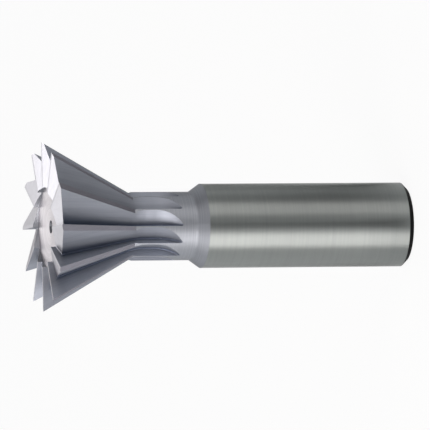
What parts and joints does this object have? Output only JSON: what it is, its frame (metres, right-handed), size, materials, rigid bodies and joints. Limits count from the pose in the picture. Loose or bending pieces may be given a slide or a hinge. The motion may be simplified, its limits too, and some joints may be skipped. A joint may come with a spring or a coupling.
{
  "type": "angle milling cutter",
  "caption": "Solid angle milling cutter for dovetails: straight teeth on an inverted 60 degree cone, end teeth, slim neck and plain round shank.",
  "frame": {"origin": "centre of the shank's end face, on which the tool stands", "axes": "+Z along the tool's axis from the shank's end to the cutting face; a tooth's rake face lies along +X"},
  "size_m": [0.032, 0.032, 0.071],
  "materials": {
    "tool_steel": "ground, satin on the shank and brighter on the teeth"
  },
  "bodies": {
    "root": {"angle_cutter": "tool_steel"}
  },
  "joints": []
}
